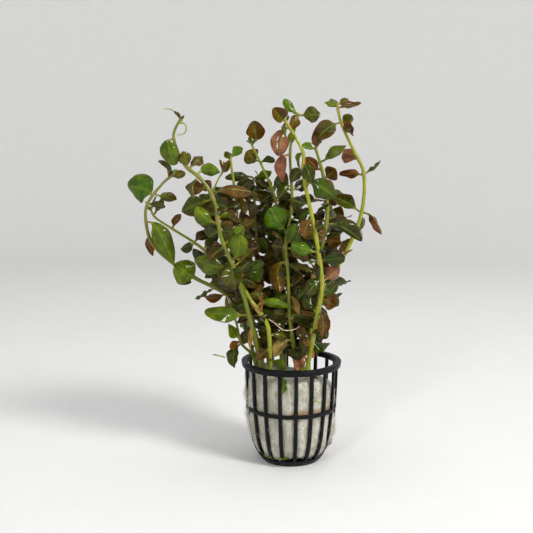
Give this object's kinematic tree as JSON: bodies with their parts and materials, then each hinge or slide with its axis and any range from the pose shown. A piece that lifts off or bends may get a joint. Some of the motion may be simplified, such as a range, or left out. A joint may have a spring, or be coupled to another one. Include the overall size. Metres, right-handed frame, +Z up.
{
  "type": "potted ludwigia repens",
  "caption": "Bunch of Ludwigia repens stems with green and red-brown oval leaves, fanned out of a black net pot packed with white rock wool.",
  "frame": {"origin": "centre of the underside of the net pot, on the surface that it stands on", "axes": "+Z up along the pot; -Y towards the viewer of the picture; +X to that viewer's right. The fan of stems lies along X."},
  "size_m": [0.1253, 0.0567, 0.18],
  "materials": {
    "leaf_bright": "wet glossy leaf",
    "leaf_deep": "wet glossy leaf",
    "leaf_olive": "wet glossy leaf",
    "leaf_pink": "wet leaf underside",
    "leaf_russet": "wet glossy leaf",
    "leaf_straw": "faded leaf",
    "pot_plastic": "satin black moulded plastic",
    "stem_skin": "wet yellow-green stem",
    "wet_rock_wool": "wet off-white mineral fibre"
  },
  "bodies": {
    "root": {"leaf_01_01": "leaf_bright", "leaf_01_04": "leaf_bright", "leaf_01_07": "leaf_deep", "leaf_01_08": "leaf_bright", "leaf_01_09": "leaf_olive", "leaf_01_11": "leaf_bright", "leaf_01_12": "leaf_bright", "leaf_01_13": "leaf_olive", "leaf_01_14": "leaf_bright", "leaf_01_15": "leaf_deep", "leaf_01_16": "leaf_bright", "leaf_02_06": "leaf_bright", "leaf_02_09": "leaf_deep", "leaf_03_01": "leaf_bright", "leaf_03_05": "leaf_olive", "leaf_03_06": "leaf_bright", "leaf_03_08": "leaf_bright", "leaf_04_05": "leaf_olive", "leaf_05_01": "leaf_russet", "leaf_05_02": "leaf_olive", "leaf_05_07": "leaf_olive", "leaf_06_03": "leaf_deep", "leaf_06_07": "leaf_olive", "leaf_07_03": "leaf_pink", "leaf_07_08": "leaf_deep", "leaf_07_10": "leaf_bright", "leaf_07_12": "leaf_pink", "leaf_07_13": "leaf_russet", "leaf_07_14": "leaf_russet", "leaf_08_02": "leaf_deep", "leaf_08_04": "leaf_pink", "leaf_08_06": "leaf_bright", "leaf_08_07": "leaf_bright", "leaf_08_08": "leaf_olive", "leaf_08_10": "leaf_straw", "leaf_09_01": "leaf_bright", "leaf_09_07": "leaf_deep", "leaf_09_12": "leaf_olive", "leaf_09_13": "leaf_pink", "leaf_10_06": "leaf_olive", "leaf_10_11": "leaf_russet", "leaf_10_12": "leaf_deep", "leaf_11_03": "leaf_olive", "leaf_11_04": "leaf_deep", "net_pot": "pot_plastic", "rock_wool": "wet_rock_wool", "stem_01": "stem_skin", "stem_02": "stem_skin", "stem_03": "stem_skin", "stem_04": "stem_skin", "stem_05": "stem_skin", "stem_06": "stem_skin", "stem_07": "stem_skin", "stem_08": "stem_skin", "stem_09": "stem_skin", "stem_10": "stem_skin", "stem_11": "stem_skin", "stem_12": "stem_skin", "stem_13": "stem_skin", "stem_14": "stem_skin"}
  },
  "joints": []
}
